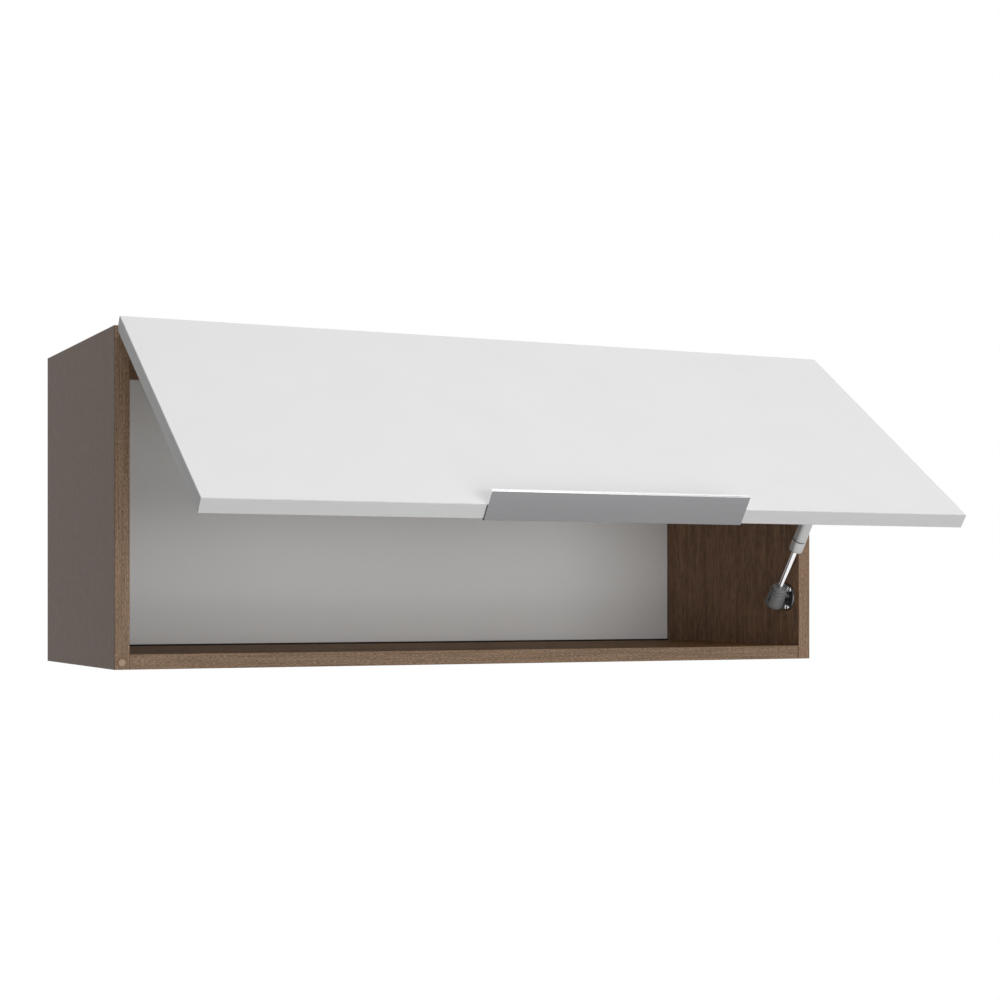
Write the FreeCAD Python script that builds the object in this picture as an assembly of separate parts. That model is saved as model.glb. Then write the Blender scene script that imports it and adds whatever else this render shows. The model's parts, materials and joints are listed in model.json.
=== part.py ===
import FreeCAD, Part
import math
import os

# Lift-up wall cabinet, all sizes in millimetres.
# x runs along the cabinet, +y points into the wall, +z up.
# The origin is on the wall plane, midway between the two wall screw holes.

# Carcass: melamine-faced boards, held by cams and dowels, with a nailed hardboard back.
width = 800.0
height = 331.0
side_depth = 291.0
board = 15.0
back_thickness = 3.0
back_margin = 1.5         # the back stops this far inside the outer edges
band = 0.8                # thickness of the edge bands
band_round = 0.4          # rounding along their outer corners
top_drop = 3.7            # the top panel lies this far below the ends of the sides
top_setback = 1.6         # and its front edge this far behind the sides' front edges

# Door, stored open. It turns about the hinge pins at its top rear edge.
door_width = 796.0
door_height = 324.2
door_gap = 2.0            # between the closed door and the carcass
door_lift = 0.1           # the closed door's bottom edge above the carcass's
open_angle = 55.0
pin_behind_door = 1.0     # pin axis behind the closed door's back face
pin_above_door = 2.3      # and above its top edge

# Handle: an aluminium edge pull, screwed on from behind under the bottom edge.
handle_length = 270.0
handle_reach = 15.5       # in front of the door's face
handle_plate = 1.8
handle_flange = 1.4
handle_flange_height = 20.0
handle_lip = 4.5          # height of the turned-up front lip
handle_lip_thickness = 1.5
handle_bend = 1.0         # outer radius of its folds
handle_screw_height = 12.0
handle_screw_shares = (-0.42, 0.0, 0.42)    # of the handle's length

# Hinges: pressed steel leaves with rolled knuckles.
hinge_inset = 100.0       # from the outer side of the carcass to the hinge's middle
hinge_width = 50.0
leaf = 1.2
knuckle_radius = 2.2
pin_radius = 1.1
running_fit = 0.05
knuckle_half = 12.5       # half the length of the door leaf's knuckle
knuckle_gap = 0.2
frame_leaf_depth = 40.0
door_leaf_height = 38.0
hinge_screws_at = ((-16.0, 30.0), (0.0, 15.0), (16.0, 30.0))    # along the hinge, back from its bend

# Wall hangers.
hanger_height = 290.0     # wall screw holes above the carcass's bottom
hanger_inset = 40.0       # and from its outer side
wall_hole_radius = 3.5
hanger_steel = 2.0
hanger_leg = 42.0
hanger_tall = 44.0
hanger_below_top = 1.5
hanger_screws_at = ((14.0, 32.0), (31.0, 12.0))    # from the back panel, above the hanger's lower end

# Buffer for the door, on the left side's front edge.
bumper_radius = 4.0
bumper_inset = 7.0        # from the outer side and from the bottom
bumper_clearance = 0.1    # to the closed door

# Gas strut, on the right-hand side only.
strut_x = 370.0           # the plane that it swings in
side_ball_behind_front = 21.5
side_ball_above_bottom = 71.4
strut_lean = 36.0         # from upright, with the door open
bracket_ball_height = 60.0    # from the door's back to the ball on its bracket
ball_radius = 5.0
stud_radius = 3.0
socket_radius = 10.0
socket_mouth = 7.5        # flat face of a socket, from the ball's centre
socket_to_rod = 12.0      # ball centre to the end that the rod or tube comes out of
socket_tail = 14.0        # ball centre to the other end
rod_radius = 3.0
tube_radius = 7.5
tube_bore = 6.3
cap_radius = 7.7
cap_length = 16.0
cap_wall = 0.7
cap_end = 1.6
steel = 2.0               # side plate and door bracket
socket_fit = 0.15         # between the ball and its pocket
neck_clearance = 1.2      # round the stud where it enters a socket
collar_over_stud = 1.8
collar_thickness = 1.4
piston_length = 5.0
piston_above_cap = 6.0
ring_depth = 1.2
ring_height = 2.0

# Round plate that carries the side ball, a little off its middle. Turns are from upright towards the front.
plate_radius = 15.5
plate_chamfer = 0.8
plate_behind_front = 23.5
plate_above_bottom = 69.7
plate_screw_circle = 11.8     # radius
plate_screw_turns = (42.6, 162.6, 282.6)
plate_screw_head = 3.6        # radius
plate_screw_rise = 2.2
spare_hole_radius = 1.6
spare_hole_circle = 8.75      # radius
spare_hole_turn = 127.0

# Bracket on the door's back.
tab_offset = 10.1         # from the plane of the strut to the tab
tab_end_radius = 8.0
foot_half = 25.0          # half the foot's length
tab_base_half = 21.0      # half the tab's width where it leaves the foot
foot_beyond_strut = 8.0
bracket_screw_reach = 18.0
rivet_radius = 4.2
rivet_height = 1.0

# Fittings that join the boards.
cam_radius = 7.5
cam_depth = 12.0
cam_distance = 34.0       # cam centre from the board's end
cam_clearance = 0.1
cover_thickness = 1.0
bolt_bore = 4.0
bolt_in_side = 11.0
bolt_length = 44.5
bolt_head = 3.0
bolt_thread_radius = 3.0
dowel_radius = 4.0
dowel_in_side = 10.0
dowel_in_board = 20.0
fitting_inset = 45.0      # cams from the boards' front and rear edges
screw_hole = 2.0          # radius of the clearance holes in hinges, hangers and plates
nail_length = 20.0

Vector = FreeCAD.Vector
along_x = Vector(1, 0, 0)
along_y = Vector(0, 1, 0)
along_z = Vector(0, 0, 1)

half = width / 2
inner = half - board
front = -(side_depth + back_thickness)
rear = -back_thickness
bottom = -hanger_height
top = bottom + height
top_upper = top - top_drop
top_under = top_upper - board
bottom_upper = bottom + board
door_back = front - door_gap
door_face = door_back - board
door_bottom = bottom + door_lift
door_top = door_bottom + door_height
pivot = Vector(0, door_back + pin_behind_door, door_top + pin_above_door)
side_ball = Vector(strut_x, front + side_ball_behind_front, bottom + side_ball_above_bottom)

nodes = {}


def block(x, y, z):
    """A box from three (low, high) pairs."""
    size = [high - low for low, high in (x, y, z)]
    return Part.makeBox(*size, Vector(x[0], y[0], z[0]))


def rod(radius, start, end):
    """A round bar between two points."""
    return Part.makeCylinder(radius, (end - start).Length, start, end - start)


def turned(outline):
    """A solid turned about the z axis from (radius, z) points."""
    points = [Vector(radius, 0, z) for radius, z in outline]
    face = Part.Face(Part.makePolygon(points + points[:1]))
    return face.revolve(Vector(0, 0, 0), along_z, 360)


def placed(shape, base, direction):
    """A shape built up the z axis, moved to start at base and run along direction."""
    moved = shape.copy()
    moved.Placement = FreeCAD.Placement(base, FreeCAD.Rotation(along_z, direction))
    return moved


def group(solids):
    """Several like pieces as one node of separate solids."""
    return Part.makeCompound(solids)


def opened(shape):
    """A piece drawn on the closed door, turned with it to the open position."""
    moved = shape.copy()
    moved.rotate(pivot, -along_x, open_angle)
    return moved


def screw(seat, direction, length, head_radius=3.2, head_height=1.6, shank_radius=1.75):
    """A pan-head wood screw: seat is under the head, direction is the way it is driven."""
    tip = 2.0
    outline = [(0, -head_height), (head_radius - 0.8, -head_height), (head_radius, -head_height + 0.7)]
    outline += [(head_radius, 0), (shank_radius, 0), (shank_radius, length - tip), (0, length)]
    body = turned(outline)
    return placed(body.cut(cross_recess(-head_height, head_radius)), seat, direction)


def flat_screw(seat, direction, length, head_radius=3.3, shank_radius=1.75):
    """A countersunk screw whose head ends flush at seat."""
    sink = head_radius - shank_radius
    tip = 2.0
    outline = [(0, 0), (head_radius, 0), (shank_radius, sink), (shank_radius, length - tip), (0, length)]
    return placed(turned(outline).cut(cross_recess(0, head_radius)), seat, direction)


def cross_recess(head_top, head_radius):
    """The cutter for a screw head's cross recess."""
    reach = head_radius * 0.62
    depth = (head_top - 0.1, head_top + 0.9)
    arm = (-0.45, 0.45)
    return block((-reach, reach), arm, depth).fuse(block(arm, (-reach, reach), depth))


def band_strip(length, wide):
    """An edge band along +x, its glued face at y = 0 and its outer corners rounded."""
    r = band_round
    low, high = 0.0, wide
    out = -band
    bow = r * (1 - math.sqrt(0.5))
    lower = Part.Arc(Vector(0, out + r, low), Vector(0, out + bow, low + bow), Vector(0, out, low + r))
    upper = Part.Arc(Vector(0, out, high - r), Vector(0, out + bow, high - bow), Vector(0, out + r, high))
    corners = [Vector(0, out + r, high), Vector(0, 0, high), Vector(0, 0, low), Vector(0, out + r, low)]
    edges = [Part.LineSegment(a, b).toShape() for a, b in zip(corners, corners[1:])]
    edges += [lower.toShape(), Part.LineSegment(Vector(0, out, low + r), Vector(0, out, high - r)).toShape()]
    edges.append(upper.toShape())
    return Part.Face(Part.Wire(Part.__sortEdges__(edges))).extrude(Vector(length, 0, 0))


# Joining fittings

def joint_places():
    """Each board end that is fastened to a side: (side, middle height, outer face, way into the board)."""
    for side in (-1, 1):
        yield side, bottom + board / 2, bottom, 1
        yield side, top_upper - board / 2, top_upper, -1


def fitting_rows():
    return (front + fitting_inset, rear - fitting_inset)


def cam_lock(side, y, face, into):
    centre = Vector(side * (inner - cam_distance), y, face)
    start = centre + along_z * into * cover_thickness
    body = rod(cam_radius - cam_clearance, start, centre + along_z * into * cam_depth)
    height_of_bolt = face + into * board / 2
    slot = rod(3.6, Vector(side * inner, y, height_of_bolt), Vector(centre.x - side * 3.4, y, height_of_bolt))
    drive = block((centre.x - 4, centre.x + 4), (y - 0.8, y + 0.8), sorted((face, face + into * 2.5)))
    return body.cut(slot).cut(drive)


def cam_cover(side, y, face, into):
    centre = Vector(side * (inner - cam_distance), y, face)
    return rod(cam_radius - cam_clearance, centre, centre + along_z * into * cover_thickness)


def cam_bolt(side, y, middle):
    """Screwed into the side, its head held in the cam."""
    shank, collar = 2.6, 3.8
    outline = [(0, 0), (shank, 1.5), (bolt_thread_radius, bolt_in_side), (collar, bolt_in_side)]
    outline += [(collar, bolt_in_side + 1.5), (shank, bolt_in_side + 1.5)]
    outline += [(shank, bolt_length - 2 * bolt_head - 0.5), (3.4, bolt_length - 2 * bolt_head)]
    outline += [(3.4, bolt_length), (0, bolt_length)]
    return placed(turned(outline), Vector(side * (inner + bolt_in_side), y, middle), Vector(-side, 0, 0))


def dowel(side, middle):
    y = (front + rear) / 2
    start = Vector(side * (inner + dowel_in_side), y, middle)
    length = dowel_in_side + dowel_in_board
    tip = dowel_radius - 0.8
    outline = [(0, 0), (tip, 0), (dowel_radius, 1.0), (dowel_radius, length - 1.0), (tip, length), (0, length)]
    return placed(turned(outline), start, Vector(-side, 0, 0))


def board_end_bores(side, middle, face, into):
    """What is drilled into the end and face of a top or bottom panel at one side."""
    bores = []
    for y in fitting_rows():
        centre = Vector(side * (inner - cam_distance), y, face)
        bores.append(rod(cam_radius, centre, centre + along_z * into * cam_depth))
        bores.append(rod(bolt_bore, Vector(side * inner, y, middle), Vector(centre.x, y, middle)))
    y = (front + rear) / 2
    bores.append(rod(dowel_radius, Vector(side * (inner - dowel_in_board), y, middle),
                     Vector(side * inner, y, middle)))
    return bores


def side_bores(side):
    """Bolt and dowel holes drilled into the inner face of a side."""
    bores = []
    for place, middle, _, _ in joint_places():
        if place == side:
            for y in fitting_rows():
                bores.append(rod(bolt_thread_radius, Vector(side * inner, y, middle),
                                 Vector(side * (inner + bolt_in_side), y, middle)))
            y = (front + rear) / 2
            bores.append(rod(dowel_radius, Vector(side * inner, y, middle),
                             Vector(side * (inner + dowel_in_side), y, middle)))
    return bores


def make_fittings():
    cams, covers, bolts, dowels = [], [], [], []
    for side, middle, face, into in joint_places():
        for y in fitting_rows():
            cams.append(cam_lock(side, y, face, into))
            covers.append(cam_cover(side, y, face, into))
            bolts.append(cam_bolt(side, y, middle))
        dowels.append(dowel(side, middle))
    nodes["cam_locks"] = group(cams)
    nodes["cam_covers"] = group(covers)
    nodes["cam_bolts"] = group(bolts)
    nodes["dowels"] = group(dowels)


# Boards

def make_sides():
    for name, side in (("left", -1), ("right", 1)):
        x = sorted((side * inner, side * half))
        panel = block(x, (front + band, rear), (bottom, top))
        for bore in side_bores(side):
            panel = panel.cut(bore)
        nodes[name + "_side_panel"] = panel
        strip = band_strip(height, board)
        strip.rotate(Vector(0, 0, 0), along_y, -90)
        strip.translate(Vector(x[1], front + band, bottom))
        nodes[name + "_side_edge_band"] = strip


def make_shelf_board(name, low, set_back, place_face):
    """The top or the bottom panel, between the sides, with its front band."""
    panel = block((-inner, inner), (front + set_back + band, rear), (low, low + board))
    for side, middle, face, into in joint_places():
        if face == place_face:
            for bore in board_end_bores(side, middle, face, into):
                panel = panel.cut(bore)
    nodes[name + "_panel"] = panel
    strip = band_strip(2 * inner, board)
    strip.translate(Vector(-inner, front + set_back + band, low))
    nodes[name + "_edge_band"] = strip


def make_back():
    reach = half - back_margin
    panel = block((-reach, reach), (rear, 0), (bottom + back_margin, top - back_margin))
    for side in (-1, 1):
        x = side * (half - hanger_inset)
        panel = panel.cut(rod(wall_hole_radius, Vector(x, rear - 1, 0), Vector(x, 1, 0)))
    nodes["back_panel"] = panel
    nails = [nail(x, z) for x, z in nail_places()]
    nodes["back_nails"] = group(nails)


def nail_places():
    """Nails through the back: five along the top and the bottom panel, two between them in each side."""
    for z in (bottom + board / 2, top_upper - board / 2):
        for step in range(-2, 3):
            yield step * (inner - board) / 2, z
    for side in (-1, 1):
        for share in (1 / 3, 2 / 3):
            yield side * (half - board / 2), bottom + height * share


def nail(x, z):
    outline = [(0, 0), (1.5, 0), (1.5, 0.5), (0.7, 0.6), (0.7, nail_length - 2), (0, nail_length)]
    return placed(turned(outline), Vector(x, 0, z), -along_y)


def make_bumper():
    """A small self-adhesive buffer low on the left side's front edge."""
    stand = door_gap - bumper_clearance
    r = bumper_radius
    outline = [(0, 0), (r, 0), (r, stand - 0.8), (r - 0.8, stand - 0.2), (r / 2, stand), (0, stand)]
    corner = Vector(-half + bumper_inset, front, bottom + bumper_inset)
    nodes["door_bumper"] = placed(turned(outline), corner, -along_y)


# Wall hangers

def make_hangers():
    """An angle in each top rear corner: one leg is screwed to the side, the wall screw goes through the other."""
    screws = []
    low = top_under - hanger_below_top - hanger_tall
    z = (low, low + hanger_tall)
    for name, side in (("left", -1), ("right", 1)):
        wall_x = side * (half - hanger_inset)
        back_leg = block(sorted((side * inner, side * (inner - hanger_leg))), (rear - hanger_steel, rear), z)
        side_leg = block(sorted((side * inner, side * (inner - hanger_steel))), (rear - hanger_leg, rear), z)
        angle = back_leg.fuse(side_leg).removeSplitter()
        angle = angle.cut(rod(wall_hole_radius, Vector(wall_x, rear - 9, 0), Vector(wall_x, 1, 0)))
        for out, height_above in hanger_screws_at:
            seat = Vector(side * (inner - hanger_steel), rear - out, low + height_above)
            angle = angle.cut(rod(screw_hole, seat - along_x * side, seat + along_x * side * 3))
            screws.append(screw(seat, along_x * side, 13.0, 3.6, 2.0))
        nodes[name + "_hanger_bracket"] = angle
    nodes["hanger_screws"] = group(screws)


# Door

def make_door():
    x = (-door_width / 2 + band, door_width / 2 - band)
    panel = block(x, (door_face, door_back), (door_bottom + band, door_top - band))
    nodes["door_panel"] = opened(panel)
    for name, low, turn in (("bottom", door_bottom + band, 90), ("top", door_top - band, -90)):
        strip = band_strip(x[1] - x[0], board)
        strip.rotate(Vector(0, 0, 0), along_x, turn)
        y = door_back if turn > 0 else door_face
        strip.translate(Vector(x[0], y, low))
        nodes["door_" + name + "_band"] = opened(strip)
    for name, side in (("left", -1), ("right", 1)):
        strip = band_strip(door_height, board)
        strip.rotate(Vector(0, 0, 0), along_y, -90)
        strip.rotate(Vector(0, 0, 0), along_z, 90 * side)
        y = door_face if side < 0 else door_back
        strip.translate(Vector(x[0] if side < 0 else x[1], y, door_bottom))
        nodes["door_" + name + "_band"] = opened(strip)


def make_handle():
    """A J-shaped profile: flange up the door's back, plate under its edge, lip turned up in front."""
    tip = door_face - handle_reach
    heel = door_back + handle_flange
    under = door_bottom - handle_plate
    bend = handle_bend
    x = -handle_length / 2
    outline = [
        (heel, door_bottom + handle_flange_height), (heel, under + bend), (heel - bend, under),
        (tip + bend, under), (tip, under + bend), (tip, under + handle_lip - 0.5),
        (tip + 0.5, under + handle_lip), (tip + handle_lip_thickness, under + handle_lip),
        (tip + handle_lip_thickness, door_bottom), (door_back, door_bottom),
        (door_back, door_bottom + handle_flange_height),
    ]
    points = [Vector(x, y, z) for y, z in outline]
    profile = Part.Face(Part.makePolygon(points + points[:1])).extrude(Vector(handle_length, 0, 0))
    screws = []
    for share in handle_screw_shares:
        seat = Vector(handle_length * share, heel, door_bottom + handle_screw_height)
        fixing = flat_screw(seat, -along_y, 12.0)
        profile = profile.cut(placed(turned([(0, -0.1), (3.4, -0.1), (3.4, 0), (1.85, 1.55), (0, 1.55)]),
                                     seat, -along_y))
        screws.append(fixing)
    nodes["handle_profile"] = opened(profile)
    nodes["handle_screws"] = opened(group(screws))


# Hinges

def make_hinge(name, centre):
    """The carcass leaf wraps the top panel's front edge, the door leaf lies on the door's back."""
    x = (centre - hinge_width / 2, centre + hinge_width / 2)
    middle = (centre - knuckle_half, centre + knuckle_half)
    pin_y, pin_z = pivot.y, pivot.z
    upright = (front + top_setback - leaf, front + top_setback)

    frame_leaf = block(x, upright, (top_under - leaf, pin_z))
    frame_leaf = frame_leaf.fuse(block(x, (upright[0], front + frame_leaf_depth), (top_under - leaf, top_under)))
    frame_leaf = frame_leaf.fuse(rod(knuckle_radius, Vector(x[0], pin_y, pin_z), Vector(x[1], pin_y, pin_z)))
    notch = (middle[0] - knuckle_gap, middle[1] + knuckle_gap)
    frame_leaf = frame_leaf.cut(block(notch, (pin_y - 4, front + 4), (pin_z - knuckle_radius - 0.4, pin_z + 4)))
    frame_leaf = frame_leaf.cut(rod(pin_radius, Vector(x[0] - 1, pin_y, pin_z), Vector(x[1] + 1, pin_y, pin_z)))

    door_leaf = block(x, (door_back, door_back + leaf), (door_top - 1 - door_leaf_height, door_top - 1))
    door_leaf = door_leaf.fuse(block(middle, (door_back, door_back + leaf), (door_top - 5, pin_z)))
    door_leaf = door_leaf.fuse(rod(knuckle_radius, Vector(middle[0], pin_y, pin_z),
                                   Vector(middle[1], pin_y, pin_z)))
    bore = pin_radius + running_fit
    door_leaf = door_leaf.cut(rod(bore, Vector(x[0], pin_y, pin_z), Vector(x[1], pin_y, pin_z)))

    frame_screws, door_screws = [], []
    for across, back in hinge_screws_at:
        seat = Vector(centre + across, front + back, top_under - leaf)
        frame_leaf = frame_leaf.cut(rod(screw_hole, seat - along_z, seat + along_z * 3))
        frame_screws.append(screw(seat, along_z, 13.0))
        seat = Vector(centre + across, door_back + leaf, door_top - 6 - back)
        door_leaf = door_leaf.cut(rod(screw_hole, seat + along_y, seat - along_y * 3))
        door_screws.append(screw(seat, -along_y, 13.0))

    head = 1.0
    pin = rod(pin_radius, Vector(x[0] - head, pin_y, pin_z), Vector(x[1] + head, pin_y, pin_z))
    for end, way in ((x[0], -1), (x[1], 1)):
        pin = pin.fuse(rod(pin_radius + 0.8, Vector(end, pin_y, pin_z), Vector(end + way * head, pin_y, pin_z)))
    nodes[name + "_hinge_frame_leaf"] = frame_leaf.removeSplitter()
    nodes[name + "_hinge_door_leaf"] = opened(door_leaf.removeSplitter())
    nodes[name + "_hinge_pin"] = pin.removeSplitter()
    return frame_screws, door_screws


def make_hinges():
    frame_screws, door_screws = [], []
    for name, side in (("left", -1), ("right", 1)):
        in_frame, in_door = make_hinge(name, side * (half - hinge_inset))
        frame_screws += in_frame
        door_screws += in_door
    nodes["hinge_frame_screws"] = group(frame_screws)
    nodes["hinge_door_screws"] = opened(group(door_screws))


# Gas strut

def in_closed_door(point):
    """Where a point of the open door is once the door is shut."""
    turn = FreeCAD.Rotation(-along_x, -open_angle)
    axis_point = Vector(point.x, pivot.y, pivot.z)
    return axis_point + turn.multVec(point - axis_point)


def strut_line():
    """(open length, ball place on the closed door, closed length, closed lean) of the strut."""
    lean = math.radians(strut_lean)
    direction = Vector(0, -math.sin(lean), math.cos(lean))
    start = in_closed_door(side_ball)
    step = in_closed_door(side_ball + direction) - start
    length = (door_back + bracket_ball_height - start.y) / step.y
    closed_ball = start + step * length
    closed = closed_ball - side_ball
    return length, closed_ball, closed.Length, math.degrees(math.atan2(-closed.y, closed.z))


def shortest_strut(closed_ball):
    """The least distance between the two balls on the way: both then lie in line with the hinge pins."""
    axis_point = Vector(strut_x, pivot.y, pivot.z)
    return (side_ball - axis_point).Length - (closed_ball - axis_point).Length


strut_open, door_ball_closed, strut_closed, closed_lean = strut_line()
strut_travel = strut_open - shortest_strut(door_ball_closed)
tube_face = socket_to_rod + strut_travel + 0.6     # the end cap's face above the side ball
piston_at = tube_face + cap_length + piston_above_cap


def in_strut(shape):
    """A piece drawn up the z axis from the side ball, laid along the open strut."""
    moved = shape.copy()
    moved.rotate(Vector(0, 0, 0), along_x, strut_lean)
    moved.translate(side_ball)
    return moved


def ball_on_neck(radius, neck, rest):
    """A ball about the origin that runs on along +x from its neck, turned from the (radius, x) points in rest."""
    neck_at = math.sqrt(radius ** 2 - neck ** 2)
    ball = Part.Arc(Vector(0, 0, -radius), Vector(radius, 0, 0), Vector(neck, 0, neck_at))
    points = [Vector(r, 0, along) for r, along in [(neck, neck_at)] + rest + [(0, -radius)]]
    edges = [ball.toShape()] + [Part.LineSegment(a, b).toShape() for a, b in zip(points, points[1:])]
    solid = Part.Face(Part.Wire(edges)).revolve(Vector(0, 0, 0), along_z, 360)
    return placed(solid, Vector(0, 0, 0), along_x)


def ball_stud(face, tail):
    """A ball on a shank along +x, its collar ending at face and its riveted tail at tail."""
    collar = stud_radius + collar_over_stud
    under = face - collar_thickness
    rest = [(stud_radius, under), (collar, under), (collar, face)]
    if tail > face:
        rest += [(stud_radius, face), (stud_radius, tail)]
    return ball_on_neck(ball_radius, stud_radius, rest + [(0, max(face, tail))])


def ball_socket():
    """A plastic ball cup about the origin; the rod or tube leaves it at +z, the ball goes in at +x."""
    r = socket_radius
    outline = [(0, -socket_tail), (r - 2.2, -socket_tail), (r - 0.8, -socket_tail + 0.8), (r, -socket_tail + 2.6)]
    outline += [(r, 4.0), (r - 0.7, 4.5), (r - 0.7, 5.3), (r - 0.2, 5.8), (r - 0.2, 8.0)]
    outline += [(r - 0.9, 8.5), (r - 0.9, 9.1), (r - 0.6, 9.5), (r - 0.8, socket_to_rod - 0.7)]
    outline += [(r - 1.5, socket_to_rod), (0, socket_to_rod)]
    cup = turned(outline)
    cup = cup.cut(block((socket_mouth, r + 1), (-r - 1, r + 1), (-socket_tail - 1, socket_to_rod + 1)))
    neck = stud_radius + neck_clearance
    cup = cup.cut(ball_on_neck(ball_radius + socket_fit, neck, [(neck, r + 1), (0, r + 1)]))
    cup = cup.cut(block((-r - 1, -r + 1.6), (-1.6, 1.6), (-6, 1.5)))
    return cup.cut(rod(rod_radius, Vector(0, 0, 6), Vector(0, 0, socket_to_rod + 1)))


def on_side_plate(circle, turn):
    """A point on the side plate's face, given as the radius of a circle and a turn in degrees."""
    angle = math.radians(turn)
    centre = Vector(inner - steel, front + plate_behind_front, bottom + plate_above_bottom)
    return centre + Vector(0, -math.sin(angle), math.cos(angle)) * circle


def make_side_mount():
    """Round steel plate, riveted ball stud and three screws on the right side panel."""
    plate = turned([(0, 0), (plate_radius - plate_chamfer, 0), (plate_radius, plate_chamfer),
                    (plate_radius, steel), (0, steel)])
    plate = placed(plate, on_side_plate(0, 0), along_x)
    face = inner - steel - strut_x
    stud = ball_stud(face, face + steel)
    stud.translate(side_ball)
    plate = plate.cut(rod(stud_radius, side_ball, side_ball + along_x * 30))
    spare = on_side_plate(spare_hole_circle, spare_hole_turn)
    plate = plate.cut(rod(spare_hole_radius, spare - along_x, spare + along_x * 3))
    screws = []
    for turn in plate_screw_turns:
        seat = on_side_plate(plate_screw_circle, turn)
        plate = plate.cut(rod(screw_hole, seat - along_x, seat + along_x * 3))
        screws.append(screw(seat, along_x, 14.0, plate_screw_head, plate_screw_rise))
    nodes["side_ball_plate"] = plate
    nodes["side_ball_stud"] = stud
    nodes["side_plate_screws"] = group(screws)


def make_strut_rod():
    end = piston_at + piston_length
    nodes["rod_socket"] = in_strut(ball_socket())
    nodes["piston_rod"] = in_strut(rod(rod_radius, Vector(0, 0, 6), Vector(0, 0, end)))
    radius = tube_bore - running_fit
    low = (piston_length - ring_height) / 2
    high = low + ring_height
    groove = radius - ring_depth
    outline = [(rod_radius, 0), (radius, 0), (radius, low), (groove, low)]
    outline += [(groove, high), (radius, high), (radius, piston_length), (rod_radius, piston_length)]
    piston = turned(outline)
    piston.translate(Vector(0, 0, piston_at))
    nodes["piston"] = in_strut(piston)
    low, high = low + running_fit, high - running_fit
    ring = turned([(groove, low), (radius, low), (radius, high), (groove, high)])
    ring.translate(Vector(0, 0, piston_at))
    nodes["piston_ring"] = in_strut(ring)


def make_strut_tube():
    neck = tube_radius - cap_wall
    upper = strut_open - socket_to_rod - 0.5
    shell = turned([
        (tube_bore, tube_face + cap_end), (neck, tube_face + cap_end), (neck, tube_face + cap_length),
        (tube_radius, tube_face + cap_length), (tube_radius, upper), (tube_bore, upper),
    ])
    nodes["pressure_tube"] = in_strut(shell)
    bore = rod_radius + running_fit
    cap = turned([
        (bore, tube_face), (cap_radius - 1.2, tube_face), (cap_radius, tube_face + 1.2),
        (cap_radius, tube_face + cap_length - 1.6), (cap_radius - 0.5, tube_face + cap_length - 1.2),
        (cap_radius - 0.5, tube_face + cap_length - 0.8), (cap_radius, tube_face + cap_length - 0.4),
        (cap_radius, tube_face + cap_length), (neck, tube_face + cap_length),
        (neck, tube_face + cap_end), (bore, tube_face + cap_end),
    ])
    nodes["tube_end_cap"] = in_strut(cap)
    for name, low, high in (("rod_guide", 2.0, 9.0), ("rod_seal", 9.1, 12.5)):
        ring = turned([(bore, low), (tube_bore, low), (tube_bore, high), (bore, high)])
        ring.translate(Vector(0, 0, tube_face))
        nodes[name] = in_strut(ring)
    plug = turned([
        (0, upper - 4), (tube_bore, upper - 4), (tube_bore, upper), (rod_radius, upper),
        (rod_radius, strut_open - 6), (0, strut_open - 6),
    ])
    nodes["tube_end_plug"] = in_strut(plug)
    socket = ball_socket()
    socket.rotate(Vector(0, 0, 0), along_x, 180)
    socket.translate(Vector(0, 0, strut_open))
    nodes["tube_socket"] = in_strut(socket)
    stud = ball_stud(socket_radius, socket_radius)
    stud.translate(Vector(0, 0, strut_open))
    nodes["door_ball_stud"] = in_strut(stud)


def make_door_bracket():
    """An angle on the door's back: foot screwed down, tab beside the strut with the stud's rivet head."""
    ball = door_ball_closed
    tab = (strut_x + tab_offset, strut_x + tab_offset + steel)
    foot = block((strut_x - foot_beyond_strut, tab[1]), (door_back, door_back + steel),
                 (ball.z - foot_half, ball.z + foot_half))
    points = [Vector(tab[0], y, z) for y, z in (
        (door_back, ball.z - tab_base_half), (ball.y, ball.z - tab_end_radius),
        (ball.y, ball.z + tab_end_radius), (door_back, ball.z + tab_base_half))]
    upright = Part.Face(Part.makePolygon(points + points[:1])).extrude(Vector(steel, 0, 0))
    inside, outside = (Vector(x, ball.y, ball.z) for x in tab)
    upright = upright.fuse(rod(tab_end_radius, inside, outside))
    rivet = rod(rivet_radius, outside, outside + along_x * rivet_height)
    bracket = foot.fuse(upright).fuse(rivet).removeSplitter()
    screws = []
    for way in (-1, 1):
        seat = Vector(strut_x, door_back + steel, ball.z + way * bracket_screw_reach)
        bracket = bracket.cut(rod(screw_hole, seat + along_y, seat - along_y * 3))
        screws.append(screw(seat, -along_y, 14.0))
    nodes["door_strut_bracket"] = opened(bracket)
    nodes["door_bracket_screws"] = opened(group(screws))


def build():
    make_sides()
    make_shelf_board("bottom", bottom, 0.0, bottom)
    make_shelf_board("top", top_under, top_setback, top_upper)
    make_back()
    make_fittings()
    make_hangers()
    make_bumper()
    make_door()
    make_handle()
    make_hinges()
    make_side_mount()
    make_strut_rod()
    make_strut_tube()
    make_door_bracket()


build()
os.makedirs("parts", exist_ok=True)
for node, shape in nodes.items():
    shape.exportStep("parts/" + node + ".step")
    if not shape.isValid():
        print("not valid:", node)
print(len(nodes), "nodes")
print("hinge pins at y %.2f z %.2f" % (pivot.y, pivot.z))
print("side ball at", side_ball)
print("strut open %.2f closed %.2f travel %.2f" % (strut_open, strut_closed, strut_travel))
print("strut leans %.3f open, %.3f closed" % (strut_lean, closed_lean))
print("rod pivot ratio %.5f" % ((strut_lean - closed_lean) / open_angle))
print("rod slide ratio %.6f m/rad" % ((strut_open - strut_closed) / 1000 / math.radians(open_angle)))
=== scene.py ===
import json
import math

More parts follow.
